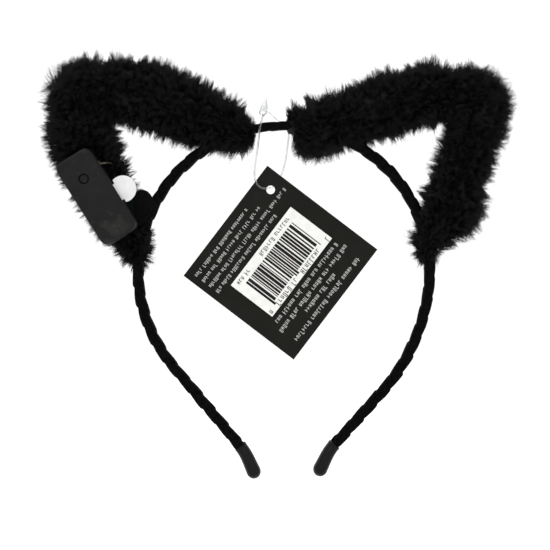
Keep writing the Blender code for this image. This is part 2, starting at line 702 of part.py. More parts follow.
# The hang tag and its loop --------------------------------------------------------------------
def make_tag():
    turn = Matrix.Rotation(math.radians(TAG_TURN_DEG), 3, "Y") @ Matrix.Rotation(math.pi / 2, 3, "X")
    hang = Vector((LOOP_HANG_AT[0], 0.0, LOOP_HANG_AT[1] + CROWN_Z))
    frame = add_frame("tag_frame", hang, turn)
    corner = turn.inverted() @ (Vector((TAG_CORNER[0], 0.0, TAG_CORNER[1] + CROWN_Z)) - hang)
    half = TAG_THICK / 2
    x, y = corner.x, corner.y
    card = box((x, y - TAG_SIDE, -half), (x + TAG_SIDE, y, half))
    tag = in_box("hang_tag", card, CARD, frame)
    hole = cylinder((x + TAG_HOLE_INSET, y - TAG_HOLE_INSET), TAG_HOLE_RADIUS, -2, 2, 20)
    cut(tag, [in_box("tag_hole", hole, None, frame)])
    low = (x + LABEL_X[0], y + LABEL_Y[0], half + GAP)
    high = (x + LABEL_X[1], y + LABEL_Y[1], half + GAP + LABEL_THICK)
    in_box("tag_label", box(low, high), PAPER, frame)


def make_loop():
    """The clear loop that hangs the tag from the band, with its tapered lock head."""
    route = [(x, y, z + CROWN_Z) for x, y, z in LOOP_ROUTE]
    line = evenly(smooth_through(route, 6), 2.0)
    lock = smooth_through([(x, y, z + CROWN_Z, r) for x, y, z, r in LOCK_ROUTE], 3)
    rings = tube_rings([p[:3] for p in lock], [p[3] for p in lock], 10)
    head = add_object("tag_lock", mesh_from("tag_lock", lambda bm: skin_rings(bm, rings)), CLEAR)
    sockets = []
    for index, end in enumerate((line[:3].copy(), line[:-4:-1].copy())):
        end[0] += (end[0] - end[1]) * 0.25
        rings_in = tube_rings(end, [LOOP_RADIUS + 0.25] * 3, 10)
        mesh = mesh_from("socket", lambda bm, rings_in=rings_in: skin_rings(bm, rings_in))
        sockets.append(add_object(f"loop_socket_{index}", mesh, None))
    cut(head, sockets)
    curve_tube("tag_loop", line, LOOP_RADIUS, CLEAR, resolution=2)


clear_scene()
STEEL = material("Spring steel", (0.45, 0.45, 0.46), 0.35, 1.0)
SPRING_STEEL = material("Plated contact", (0.62, 0.60, 0.56), 0.3, 1.0)
VELVET = material("Black velvet ribbon", (0.012, 0.012, 0.013), 0.9)
VINYL = material("Black vinyl", (0.02, 0.02, 0.021), 0.45)
FUR = material("Black faux fur", (0.008, 0.008, 0.008), 0.85)
TAPE = material("Cloth tape", (0.02, 0.02, 0.02), 0.8)
COPPER = material("Enamelled wire", (0.28, 0.17, 0.08), 0.35, 0.8)
CASE = material("Black ABS case", (0.03, 0.03, 0.031), 0.5)
CELL = material("Button cell", (0.6, 0.6, 0.6), 0.3, 1.0)
BOARD = material("Circuit board", (0.05, 0.16, 0.08), 0.5)
SWITCH = material("Switch body", (0.05, 0.05, 0.05), 0.45)
GLUE = material("Hot-melt glue", (0.75, 0.74, 0.68), 0.3)
FILM = material("White film", (0.86, 0.86, 0.85), 0.4)
FOAM = material("Foam pad", (0.1, 0.1, 0.1), 0.95)
FELT = material("Black felt", (0.014, 0.014, 0.014), 0.95)
GLOSS_TAPE = material("Dark glossy tape", (0.02, 0.05, 0.05), 0.15)
CARD = material("Black card", (0.02, 0.02, 0.019), 0.5)
PAPER = material("White label", (0.88, 0.88, 0.85), 0.6)
CLEAR = material("Clear polypropylene", (0.85, 0.86, 0.85), 0.25, alpha=0.6)

make_band()
make_tip_cap("tip_cap_left", -1)
make_tip_cap("tip_cap_right", 1)

make_ear_wire("ear_wire_left", LEFT_EAR, LEFT_INNER_RUN, LEFT_OUTER_RUN)
make_ear_wire("ear_wire_right", RIGHT_EAR, RIGHT_INNER_RUN, RIGHT_OUTER_RUN)
for place, middle in BINDING_AT.items():
    make_binding("wire_binding_" + place, middle)
make_led_string()

box_frame = add_frame("box_frame", BOX_ORIGIN, BOX_TURN)
make_fur(
    "ear_fur_left",
    LEFT_EAR,
    LEFT_INNER_RUN,
    LEFT_OUTER_RUN,
    (BINDING_AT["left_inner"], BINDING_AT["left_outer"]),
    box_pockets(box_frame),
)
make_fur(
    "ear_fur_right",
    RIGHT_EAR,
    RIGHT_INNER_RUN,
    RIGHT_OUTER_RUN,
    (BINDING_AT["right_inner"], BINDING_AT["right_outer"]),
    [],
)
make_box_shells(box_frame)
make_box_pieces(box_frame)
make_button(box_frame)
make_insulation_tab(box_frame)
make_box_backing(box_frame)

make_tag()
make_loop()
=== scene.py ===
"""Looks for the light-up animal-ears headband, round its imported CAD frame.

Lengths are in millimetres until a mesh is made, in the CAD's own frame: +Z up, the wearer
looks along +Y, and the battery box and the hang tag face -Y, as the camera sees them.
"""

import json
import math

import bmesh
import bpy
import numpy as np
from mathutils import Matrix, Vector, noise


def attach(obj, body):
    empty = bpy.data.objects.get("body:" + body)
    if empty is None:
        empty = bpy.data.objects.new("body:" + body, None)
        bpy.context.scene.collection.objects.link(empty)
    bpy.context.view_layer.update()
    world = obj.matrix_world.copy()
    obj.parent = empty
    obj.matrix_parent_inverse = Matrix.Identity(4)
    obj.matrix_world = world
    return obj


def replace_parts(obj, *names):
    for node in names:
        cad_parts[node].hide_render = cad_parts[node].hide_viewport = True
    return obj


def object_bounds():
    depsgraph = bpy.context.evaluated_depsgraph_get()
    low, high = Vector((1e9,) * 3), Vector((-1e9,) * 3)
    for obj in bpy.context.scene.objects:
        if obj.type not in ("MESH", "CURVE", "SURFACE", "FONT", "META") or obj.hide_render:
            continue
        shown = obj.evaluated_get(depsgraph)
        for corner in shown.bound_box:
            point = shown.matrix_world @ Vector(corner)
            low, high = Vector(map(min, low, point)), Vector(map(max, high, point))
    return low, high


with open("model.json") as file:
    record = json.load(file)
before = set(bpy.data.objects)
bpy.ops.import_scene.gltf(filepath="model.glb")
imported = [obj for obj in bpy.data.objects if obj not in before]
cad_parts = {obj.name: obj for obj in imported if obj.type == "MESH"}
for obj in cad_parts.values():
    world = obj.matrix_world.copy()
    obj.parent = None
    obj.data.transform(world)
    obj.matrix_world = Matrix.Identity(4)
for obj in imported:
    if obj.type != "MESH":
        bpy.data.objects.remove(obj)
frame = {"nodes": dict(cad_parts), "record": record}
CAD_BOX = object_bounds()

MM = 0.001

# The CAD's driving dimensions, repeated -------------------------------------------------------
HOOP_RADIUS, CROWN_Z = 60.0, 2.5
LEFT_RUN = [(HOOP_RADIUS, 130.0), (0, 43.0)]
RIGHT_RUN = [(HOOP_RADIUS, 98.0), (78.0, 34.0), (0, 28.4)]
TIP_RUN = [(-25.0, 16.0), (0, 9.0)]
CAP_LENGTH, CAP_GAP = 15.0, 0.3
BOX_CENTRE, BOX_TURN_DEG = (-75.25, -7.0, -30.0), -32.4
BOX_HALF_WIDTH, BOX_HALF_LENGTH, BOX_DEPTH = 8.0, 19.0, 11.0
BOX_X, BOX_Y = (-BOX_HALF_WIDTH, BOX_HALF_WIDTH), (-BOX_HALF_LENGTH, BOX_HALF_LENGTH)
FELT_X, FELT_Y, FELT_Z = (-7.0, 18.3), (-18.4, -5.7), (-2.6, -1.6)
# Where the white film's head goes as it is pulled out, on the box's own axes
TAB_SWEEP_X, TAB_SWEEP_Y, TAB_UNDER = (8.0, 32.6), (-8.8, 2.8), 7.0
TAG_CORNER, TAG_TURN_DEG, TAG_HALF_THICK = (-6.84, -16.36), 37.3, 0.25
LABEL_TOP = TAG_HALF_THICK + 0.3 + 0.2
LOOP_RADIUS = 0.4

# Centreline of each ear's fur as (x, z, radius), from the band's centreline at the crown
LEFT_EAR = [
    (-15.0, -3.6, 6.0),
    (-20.0, -3.0, 8.9),
    (-27.0, 0.9, 11.8),
    (-35.0, 3.9, 13.2),
    (-45.5, 8.9, 13.6),
    (-56.5, 12.4, 14.3),
    (-70.0, 14.6, 12.9),
    (-83.2, 13.2, 14.2),
    (-83.6, 7.8, 12.6),
    (-83.3, 1.0, 13.4),
    (-83.2, -5.0, 14.0),
    (-80.0, -14.0, 13.9),
    (-74.0, -26.0, 12.0),
    (-69.0, -36.0, 10.8),
    (-64.5, -43.0, 9.6),
    (-61.9, -49.0, 7.4),
    (-60.8, -53.0, 5.2),
]
RIGHT_EAR = [
    (5.0, 0.6, 8.2),
    (12.5, -1.8, 12.4),
    (20.0, 2.0, 11.4),
    (28.0, 2.6, 11.3),
    (34.8, 5.2, 12.8),
    (43.7, 9.2, 13.2),
    (54.0, 11.2, 12.2),
    (60.5, 13.0, 13.3),
    (69.5, 12.0, 11.2),
    (79.0, 10.5, 13.6),
    (79.6, 1.0, 12.3),
    (78.2, -6.0, 11.7),
    (74.0, -16.0, 11.9),
    (70.8, -25.0, 11.4),
    (69.3, -33.0, 13.4),
    (65.0, -39.5, 10.6),
    (60.4, -46.0, 7.6),
    (59.2, -51.0, 5.8),
]

# The tag's loop, from the lock, down the near side (-Y), through the tag, up the far side and over
# the band
LOOP_ROUTE = [
    (-8.5, -4.75, 4.6),
    (-9.2, -5.5, 1.4),
    (-9.9, -5.9, -1.7),
    (-10.3, -5.6, -5.0),
    (-11.0, -4.4, -10.5),
    (-11.7, -3.1, -15.5),
    (-12.1, -2.2, -19.2),
    (-11.8, -1.8, -22.4),
    (-10.2, -1.7, -25.1),
    (-7.8, -1.5, -25.9),
    (-6.1, -1.0, -25.7),
    (-5.5, 0.0, -25.45),
    (-4.9, 1.0, -25.2),
    (-3.5, 1.6, -23.9),
    (-1.6, 1.9, -21.0),
    (-0.1, 2.5, -17.2),
    (0.9, 3.6, -12.8),
    (1.6, 4.9, -7.5),
    (2.1, 5.8, -3.2),
    (1.6, 6.0, -0.6),
    (-0.4, 5.8, 1.2),
    (-2.8, 4.9, 2.9),
    (-5.0, 2.7, 4.7),
    (-6.7, -0.6, 5.6),
    (-7.9, -3.2, 5.6),
]
# The lock's head, as (x, y, z, radius)
LOCK_ROUTE = [
    (-8.9, -5.0, 3.4, 0.9),
    (-8.6, -4.7, 5.2, 1.5),
    (-8.1, -4.1, 7.4, 1.3),
    (-7.4, -3.2, 10.6, 0.35),
]

BOX_TURN = Matrix.Rotation(math.radians(BOX_TURN_DEG), 3, "Y") @ Matrix.Rotation(math.pi / 2, 3, "X")
BOX_ORIGIN = Vector((BOX_CENTRE[0], BOX_CENTRE[1], BOX_CENTRE[2] + CROWN_Z))
TAG_TURN = Matrix.Rotation(math.radians(TAG_TURN_DEG), 3, "Y") @ Matrix.Rotation(math.pi / 2, 3, "X")
TAG_ORIGIN = Vector((TAG_CORNER[0], 0.0, TAG_CORNER[1] + CROWN_Z))


# Camera and light -----------------------------------------------------------------------------
def make_camera():
    """Square on to the side with the battery box and the tag, from about half a metre."""
    distance, view_width, middle = 560.0, 226.6, (-3.7, -58.9)
    data = bpy.data.cameras.new("camera")
    data.sensor_width = 36.0
    data.lens = data.sensor_width * distance / view_width
    camera = bpy.data.objects.new("camera", data)
    bpy.context.scene.collection.objects.link(camera)
    camera.location = Vector((middle[0], -distance, middle[1])) * MM
    camera.rotation_euler = (math.pi / 2, 0, 0)
    bpy.context.scene.camera = camera


def make_light():
    """An even white surround, and three soft lamps."""
    world = bpy.data.worlds.new("studio")
    world.use_nodes = True
    world.node_tree.nodes["Background"].inputs["Color"].default_value = (1, 1, 1, 1)
    world.node_tree.nodes["Background"].inputs["Strength"].default_value = 1.06
    bpy.context.scene.world = world
    bpy.context.scene.view_settings.view_transform = "Standard"
    for name, place, size, watts in (
        ("key", (-0.55, -0.6, 0.65), 0.5, 4.5),
        ("fill", (0.75, -0.5, 0.15), 0.7, 1.5),
        ("rim", (0.1, 0.8, 0.6), 0.6, 2.5),
    ):
        data = bpy.data.lights.new(name, "AREA")
        data.energy, data.size = watts, size
        lamp = bpy.data.objects.new(name, data)
        bpy.context.scene.collection.objects.link(lamp)
        lamp.location = place
        lamp.rotation_euler = (Vector((0, 0, -0.05)) - lamp.location).to_track_quat("-Z", "Y").to_euler()


def make_floor():
    """A plain pale floor, a little below the caps."""
    below, radius = 0.03, 2.5
    bm = bmesh.new()
    bmesh.ops.create_circle(bm, cap_ends=True, radius=radius, segments=96)
    mesh = bpy.data.meshes.new("floor")
    bm.to_mesh(mesh)
    bm.free()
    floor = bpy.data.objects.new("floor", mesh)
    bpy.context.scene.collection.objects.link(floor)
    floor.location.z = CAD_BOX[0].z - below
    mesh.materials.append(finish("floor", grey(0.95), grey(0.98), 6.0, (0.8, 0.9)))


# Materials ------------------------------------------------------------------------------------
def finish(name, dark, light, grain, roughness, bump=0.0, bump_grain=0.0, stretch=(1, 1, 1), **sockets):
    """A material whose colour and roughness vary with noise of that many grains in a metre."""
    made = bpy.data.materials.new(name)
    made.use_nodes = True
    tree = made.node_tree
    shader = tree.nodes["Principled BSDF"]
    place = tree.nodes.new("ShaderNodeTexCoord")
    mapping = tree.nodes.new("ShaderNodeMapping")
    mapping.inputs["Scale"].default_value = stretch
    tree.links.new(place.outputs["Object"], mapping.inputs["Vector"])

    def grains(scale, detail):
        node = tree.nodes.new("ShaderNodeTexNoise")
        node.inputs["Scale"].default_value = scale
        node.inputs["Detail"].default_value = detail
        tree.links.new(mapping.outputs["Vector"], node.inputs["Vector"])
        return node.outputs["Fac"]

    mottle = grains(grain, 4.0)
    ramp = tree.nodes.new("ShaderNodeValToRGB")
    ramp.color_ramp.elements[0].position, ramp.color_ramp.elements[1].position = 0.35, 0.65
    ramp.color_ramp.elements[0].color = (*dark, 1)
    ramp.color_ramp.elements[1].color = (*light, 1)
    tree.links.new(mottle, ramp.inputs["Fac"])
    tree.links.new(ramp.outputs["Color"], shader.inputs["Base Color"])
    spread = tree.nodes.new("ShaderNodeMapRange")
    spread.inputs["To Min"].default_value, spread.inputs["To Max"].default_value = roughness
    tree.links.new(mottle, spread.inputs["Value"])
    tree.links.new(spread.outputs["Result"], shader.inputs["Roughness"])
    if bump:
        raised = tree.nodes.new("ShaderNodeBump")
        raised.inputs["Distance"].default_value = bump * MM
        raised.inputs["Strength"].default_value = 1.0
        tree.links.new(grains(bump_grain, 2.0), raised.inputs["Height"])
        tree.links.new(raised.outputs["Normal"], shader.inputs["Normal"])
    for socket, value in sockets.items():
        shader.inputs[socket.replace("_", " ")].default_value = value
    return made


def grey(value, blue=1.0):
    return (value, value, value * blue)


def make_finishes():
    """One finish for each of the record's material slots."""
    return {
        "spring_steel": finish(
            "spring steel", grey(0.32), grey(0.5), 900, (0.25, 0.5), 0.02, 3000, (1, 1, 0.1), Metallic=1.0
        ),
        "velvet_ribbon": finish(
            "velvet ribbon",
            grey(0.001),
            grey(0.0032),
            900,
            (0.75, 0.95),
            0.1,
            2600,
            Specular_IOR_Level=0.025,
        ),
        "black_vinyl": finish(
            "black vinyl", grey(0.003), grey(0.005), 500, (0.3, 0.42), 0.02, 1800, Specular_IOR_Level=0.09
        ),
        "cloth_tape": finish(
            "cloth tape", grey(0.0016), grey(0.004), 1500, (0.8, 0.95), 0.08, 3500, Specular_IOR_Level=0.04
        ),
        "faux_fur": finish(
            "faux fur",
            grey(0.0054),
            grey(0.0092),
            160,
            (0.45, 0.75),
            Specular_IOR_Level=0.1,
        ),
        "enamelled_wire": finish(
            "enamelled wire",
            (0.02, 0.018, 0.012),
            (0.1, 0.088, 0.058),
            1500,
            (0.25, 0.45),
            Metallic=0.6,
            Coat_Weight=0.1,
            Coat_Roughness=0.2,
        ),
        "case_plastic": scuffed_case(),
        "switch_plastic": finish("switch plastic", grey(0.03), grey(0.05), 700, (0.35, 0.5), 0.01, 3000),
        "circuit_board": finish(
            "circuit board", (0.02, 0.1, 0.04), (0.04, 0.17, 0.07), 600, (0.3, 0.45), 0.02, 1500
        ),
        "cell_steel": finish(
            "cell steel", grey(0.5), grey(0.62), 700, (0.16, 0.3), 0.01, 2500, Metallic=1.0
        ),
        "plated_contact": finish(
            "plated contact", grey(0.5, 0.94), grey(0.66, 0.94), 900, (0.25, 0.42), 0.01, 3000, Metallic=1.0
        ),
        "hot_melt": finish(
            "hot melt", (0.05, 0.048, 0.04), (0.09, 0.085, 0.07), 800, (0.25, 0.4), Specular_IOR_Level=0.2
        ),
        "white_film": finish("white film", grey(0.56), grey(0.62), 220, (0.3, 0.45), 0.03, 500),
        "foam": finish("foam", grey(0.01), grey(0.02), 1800, (0.9, 1.0), 0.15, 2600, Specular_IOR_Level=0.1),
        "felt": finish(
            "felt",
            grey(0.0016),
            grey(0.0044),
            1600,
            (0.85, 1.0),
            0.1,
            3200,
            Specular_IOR_Level=0.04,
        ),
        "glossy_tape": finish(
            "glossy tape",
            (0.0006, 0.0016, 0.0015),
            (0.0014, 0.0036, 0.0033),
            300,
            (0.3, 0.5),
            0.04,
            400,
            Specular_IOR_Level=0.08,
        ),
        "black_card": finish(
            "black card",
            (0.007, 0.0074, 0.0058),
            (0.0092, 0.0094, 0.0078),
            70,
            (0.5, 0.66),
            0.01,
            4200,
            Specular_IOR_Level=0.06,
        ),
        "label_paper": finish(
            "label paper", (0.61, 0.61, 0.585), (0.67, 0.67, 0.65), 400, (0.5, 0.65), 0.01, 5000
        ),
        "clear_plastic": finish(
            "clear plastic",
            (0.6, 0.62, 0.62),
            (0.78, 0.8, 0.8),
            500,
            (0.08, 0.2),
            0.015,
            1500,
            Transmission_Weight=0.96,
            IOR=1.49,
            Specular_IOR_Level=0.35,
        ),
        "pale_ink": finish("pale ink", grey(0.3, 0.96), grey(0.5, 0.96), 2200, (0.6, 0.8)),
        "dark_ink": finish(
            "dark ink", grey(0.006), grey(0.012), 1800, (0.6, 0.8), Specular_IOR_Level=0.1
        ),
    }


def scuffed_case():
    """Satin black plastic, with faint paler scuffs that are thickest towards the box's lower end."""
    scuffed_length = 0.013
    made = finish(
        "case plastic",
        grey(0.0072),
        grey(0.0094, 0.97),
        200,
        (0.45, 0.62),
        0.008,
        3600,
        Specular_IOR_Level=0.08,
    )
    tree = made.node_tree
    shader = tree.nodes["Principled BSDF"]
    colour = shader.inputs["Base Color"].links[0].from_socket
    place = tree.nodes["Texture Coordinate"].outputs["Object"]
    blotch = tree.nodes.new("ShaderNodeTexNoise")
    blotch.inputs["Scale"].default_value = 260.0
    blotch.inputs["Detail"].default_value = 5.0
    blotch.inputs["Distortion"].default_value = 0.4
    tree.links.new(place, blotch.inputs["Vector"])
    low_end = BOX_ORIGIN + BOX_TURN @ Vector((0, -BOX_HALF_LENGTH, BOX_DEPTH))
    near = tree.nodes.new("ShaderNodeVectorMath")
    near.operation = "DISTANCE"
    near.inputs[1].default_value = low_end * MM
    tree.links.new(place, near.inputs[0])
    fade = tree.nodes.new("ShaderNodeMapRange")
    fade.inputs["From Min"].default_value, fade.inputs["From Max"].default_value = 0.0, scuffed_length
    fade.inputs["To Min"].default_value, fade.inputs["To Max"].default_value = 0.08, -0.1
    tree.links.new(near.outputs["Value"], fade.inputs["Value"])
    total = tree.nodes.new("ShaderNodeMath")
    total.operation = "ADD"
    tree.links.new(blotch.outputs["Fac"], total.inputs[0])
    tree.links.new(fade.outputs["Result"], total.inputs[1])
    worn = tree.nodes.new("ShaderNodeMapRange")
    worn.inputs["From Min"].default_value, worn.inputs["From Max"].default_value = 0.5, 0.72
    tree.links.new(total.outputs["Value"], worn.inputs["Value"])
    mix = tree.nodes.new("ShaderNodeMix")
    mix.data_type = "RGBA"
    mix.inputs["B"].default_value = (0.019, 0.0195, 0.0182, 1)
    tree.links.new(worn.outputs["Result"], mix.inputs["Factor"])
    tree.links.new(colour, mix.inputs["A"])
    tree.links.new(mix.outputs["Result"], shader.inputs["Base Color"])
    return made


# Geometry helpers -----------------------------------------------------------------------------
def smooth_through(points, per_span):
    """Points on a Catmull-Rom curve through the given ones, of any number of coordinates."""
    known = [np.array(p, float) for p in points]
    known = [2 * known[0] - known[1], *known, 2 * known[-1] - known[-2]]
    made = []
    for a, b, c, d in zip(known, known[1:], known[2:], known[3:]):
        for step in range(per_span):
            t = step / per_span
            bend = (2 * a - 5 * b + 4 * c - d) * t**2 + (3 * b - a - 3 * c + d) * t**3
            made.append(0.5 * (2 * b + (c - a) * t + bend))
    return np.array([*made, known[-2]])


def evenly(points, spacing):
    """The same line with its points evenly spaced; only x, y and z count as distance."""
    along = np.concatenate([[0], np.cumsum(np.linalg.norm(np.diff(points[:, :3], axis=0), axis=1))])
    at = np.linspace(0, along[-1], max(2, round(along[-1] / spacing) + 1))
    return np.stack([np.interp(at, along, column) for column in points.T], axis=1)


def unit(vectors):
    return vectors / np.linalg.norm(vectors, axis=-1, keepdims=True)


def tangents(line):
    return unit(np.gradient(line[:, :3], axis=0))


def carried_frames(line):
    """Two directions across a line at each of its points, which don't spin along it."""
    ahead = tangents(line)
    side = np.cross(ahead[0], (0, 1, 0))
    if np.linalg.norm(side) < 0.1:
        side = np.cross(ahead[0], (1, 0, 0))
    sides = []
    for direction in ahead:
        side = side - direction * side.dot(direction)
        side = side / np.linalg.norm(side)
        sides.append(side)
    sides = np.array(sides)
    return sides, np.cross(ahead, sides)


def piece(name, points, faces, slot, body, smooth=True, look=None):
    """A mesh piece, its points in mm, that rides on a body and takes a slot's finish."""
    mesh = bpy.data.meshes.new(name)
    mesh.from_pydata([tuple(p) for p in np.asarray(points) * MM], [], faces)
    bm = bmesh.new()
    bm.from_mesh(mesh)
    bmesh.ops.recalc_face_normals(bm, faces=bm.faces)
    bm.to_mesh(mesh)
    bm.free()
    return placed(name, mesh, slot, body, smooth, look)


def placed(name, mesh, slot, body, smooth=True, look=None):
    """The mesh as a piece; look is a finish to wear in place of its slot's own."""
    if smooth:
        mesh.shade_smooth()
        mesh.set_sharp_from_angle(angle=math.radians(50))
    obj = bpy.data.objects.new(name, mesh)
    bpy.context.scene.collection.objects.link(obj)
    mesh.materials.append(FINISHES[look or slot])
    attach(obj, body)
    return obj


def skin(rings, closed=False, first=0):
    """Quads between rings of as many points, and their end faces unless the rings close up."""
    count, sides = len(rings), len(rings[0])
    faces = []
    for i in range(count if closed else count - 1):
        a, b = first + i * sides, first + (i + 1) % count * sides
        faces += [(a + k, a + (k + 1) % sides, b + (k + 1) % sides, b + k) for k in range(sides)]
    if not closed:
        last = first + (count - 1) * sides
        faces += [tuple(first + k for k in range(sides))[::-1], tuple(last + k for k in range(sides))]
    return faces


def tube(line, radii, sides):
    """Rings of points round a line."""
    across, up = carried_frames(line)
    angles = np.arange(sides) * 2 * math.pi / sides
    spokes = across[:, None] * np.cos(angles)[:, None] + up[:, None] * np.sin(angles)[:, None]
    return line[:, None, :3] + spokes * np.broadcast_to(radii, len(line))[:, None, None]


def ease(values):
    values = np.clip(values, 0, 1)
    return values * values * (3 - 2 * values)


# The hoop -------------------------------------------------------------------------------------
def hoop_station(along):
    """(x, z, outward x, outward z) of the band's centreline, at a length from the crown."""
    side = 1 if along >= 0 else -1
    left = abs(along)
    x, z, heading = 0.0, CROWN_Z, 0.0
    for radius, amount in (RIGHT_RUN if side > 0 else LEFT_RUN) + TIP_RUN:
        length = abs(radius) * math.radians(amount) if radius else amount
        step = min(left, length)
        if radius:
            turn = step / radius
            centre = (x - radius * math.sin(heading), z - radius * math.cos(heading))
            heading += turn
            x = centre[0] + radius * math.sin(heading)
            z = centre[1] + radius * math.cos(heading)
        else:
            x += step * math.cos(heading)
            z -= step * math.sin(heading)
        left -= step
        if left <= 0:
            break
    x += left * math.cos(heading)
    z -= left * math.sin(heading)
    return side * x, z, side * math.sin(heading), math.cos(heading)


def run_length(run):
    return sum(abs(r) * math.radians(a) if r else a for r, a in run)


def hoop_point(along, out=0.0, y=0.0):
    x, z, out_x, out_z = hoop_station(along)
    return (x + out * out_x, y, z + out * out_z)


LEFT_END, RIGHT_END = -run_length(LEFT_RUN), run_length(RIGHT_RUN)


def oval(angle, half_y, half_out, power):
    """A point of a rounded-rectangle section, as (y, out)."""
    c, s = math.cos(angle), math.sin(angle)
    return (
        half_y * math.copysign(abs(c) ** (2 / power), c),
        half_out * math.copysign(abs(s) ** (2 / power), s),
    )


def make_ribbon():
    """One velvet ribbon wound along the band, each turn lapping over the one before."""
    pitch, width, thick, per_turn = 8.2, 10.6, 0.3, 36
    half_y, half_out, squareness, lap, crown, least = 3.4, 1.38, 3.2, 0.95, 0.3, 2.0
    to_cap = 0.27  # past the band's covered length, which all but closes the gap to each cap
    pulled_tight = 34.0  # how far from the crown the ribbon lies thinner
    across = np.array([0.0, 0.05, 0.15, 0.32, 0.5, 0.7, 0.88, 1.0])
    low, high = LEFT_END - width + least, RIGHT_END - least
    turns = (high - low) / pitch
    rings = []
    for step in range(int(turns * per_turn) + 1):
        turn = step / per_turn
        start = low + turn * pitch
        angle = -2 * math.pi * turn
        bulk = 0.5 + 0.5 * min(1.0, (abs(start + width / 2) / pulled_tight) ** 2)
        outer, inner = [], []
        for share in across:
            along = min(max(start + share * width, LEFT_END - to_cap), RIGHT_END + to_cap)
            fold = 0.3 * noise.noise(Vector((start * 0.3, share * 2.4, math.cos(angle) * 1.5)))
            height = bulk * (lap * (1 - share) + crown * math.sin(math.pi * share) + fold * (1 - share))
            height -= 0.15 if share == 0 else 0.0
            for line, lift in ((outer, height), (inner, height - thick)):
                y, out = oval(angle, half_y + 0.5 * lift, half_out + lift, squareness)
                line.append(hoop_point(along, out, y))
        rings.append(outer + inner[::-1])
    points = np.array(rings).reshape(-1, 3)
    ribbon = piece("ribbon", points, skin(rings), "velvet_ribbon", "headband")
    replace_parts(ribbon, "ribbon_wrap")


def make_cap(name, node, side):
    """A vinyl cap with a rolled rim, a bulbous round end and a faint mould line."""
    start = side * ((RIGHT_END if side > 0 else -LEFT_END) + CAP_GAP)
    half_y, half_out, squareness = 3.55, 2.6, 2.25
    dome, sides = 3.4, 40
    shares = np.concatenate([[0.0, 0.012, 0.03, 0.05, 0.07], np.linspace(0.12, 0.76, 9)])
    shares = np.concatenate([shares, 1 - dome / CAP_LENGTH * (1 - np.sin(np.linspace(0.1, 1.5, 11)))])
    rings = []
    for share in shares:
        to_end = (1 - share) * CAP_LENGTH
        swell = 1 + 0.2 * share**1.5
        rim = 0.05 * math.exp(-(((share - 0.03) / 0.02) ** 2)) - (0.06 if share == 0 else 0)
        closing = 1.0 if to_end > dome else math.sqrt(max(0.004, 1 - (1 - to_end / dome) ** 2))
        ring = []
        for k in range(sides):
            angle = 2 * math.pi * k / sides
            y, out = oval(
                angle, half_y * (swell + rim) * closing, half_out * (swell + rim) * closing, squareness
            )
            mould = 0.1 * math.exp(-(((angle - math.pi) / 0.16) ** 2)) * closing
            ring.append(hoop_point(start + side * share * CAP_LENGTH, out * (1 + mould), y * (1 + mould)))
        rings.append(ring)
    points = np.array(rings).reshape(-1, 3)
    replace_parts(piece(name, points, skin(rings), "black_vinyl", "headband"), node)


# The fur --------------------------------------------------------------------------------------
class Ear:
    """The fur of one ear, as a tube that is found by length along it and angle round it."""

    def __init__(self, route):
        points = smooth_through([(x, 0.0, z + CROWN_Z, r) for x, z, r in route], 10)
        self.line = evenly(points, 1.0)
        self.ahead = tangents(self.line)
        self.length = float(np.linalg.norm(np.diff(self.line[:, :3], axis=0), axis=1).sum())
        self.along = np.linspace(0, self.length, len(self.line))
        self.end_radii = self.line[0, 3], self.line[-1, 3]
        # The pile stands as close on the outside of a bend as on a straight run.
        over_end, most_crowded = 0.95, 4.0
        bend = np.linalg.norm(np.gradient(self.ahead, self.along, axis=0), axis=1)
        before, after = -over_end * self.end_radii[0], self.length + over_end * self.end_radii[1]
        self.places = np.concatenate([[before], self.along, [after]])
        close = np.concatenate([[1.0], 1 + np.minimum(bend * self.line[:, 3], most_crowded), [1.0]])
        steps = np.diff(self.places) * (close[1:] + close[:-1]) / 2
        self.crowding = np.concatenate([[0.0], np.cumsum(steps)])

    def scatter(self, rng, count):
        """Lengths along the ear, spread so that the pile is even."""
        return np.interp(rng.uniform(0, self.crowding[-1], count), self.crowding, self.places)

    def read(self, s, columns):
        """The columns' values at lengths along the ear."""
        return np.stack([np.interp(s, self.along, c) for c in columns.T], axis=-1)

    def place(self, s, angle, depth):
        """Points that far under the fur's outer surface; s runs on over the round ends."""
        least_radius = 0.3
        here = self.read(s, self.line)
        ahead = unit(self.read(s, self.ahead))
        across = np.cross(ahead, np.array([0.0, 1.0, 0.0]))
        radial = across * np.cos(angle)[..., None]
        radial = radial + np.array([0.0, 1.0, 0.0]) * np.sin(angle)[..., None]
        over = np.where(s < 0, s / self.end_radii[0], np.maximum(s - self.length, 0) / self.end_radii[1])
        tilt = np.clip(over, -1, 1) * math.pi / 2
        out = radial * np.cos(tilt)[..., None] + ahead * np.sin(tilt)[..., None]
        return here[..., :3] + out * np.maximum(here[..., 3] - depth, least_radius)[..., None], out


def lumps(points, grain, seed):
    """Smooth noise from -1 to 1 at each point."""
    shift = Vector((seed * 17.0, 0, 0))
    flat = points.reshape(-1, 3)
    values = [noise.noise(Vector(p) * grain + shift) for p in flat]
    return np.array(values).reshape(points.shape[:-1])


def in_box_frame(points):
    """Points in the battery box's own frame: x across it, y along it, z out of the fur."""
    return (points - np.array(BOX_ORIGIN)) @ np.array(BOX_TURN)


def beside(local, x_range, y_range, margin):
    """How far inside a rectangle grown by margin each point is: 1 over it, 0 past the margin."""
    dx = np.maximum(np.maximum(x_range[0] - local[..., 0], local[..., 0] - x_range[1]), 0)
    dy = np.maximum(np.maximum(y_range[0] - local[..., 1], local[..., 1] - y_range[1]), 0)
    return 1 - ease(np.hypot(dx, dy) / margin)


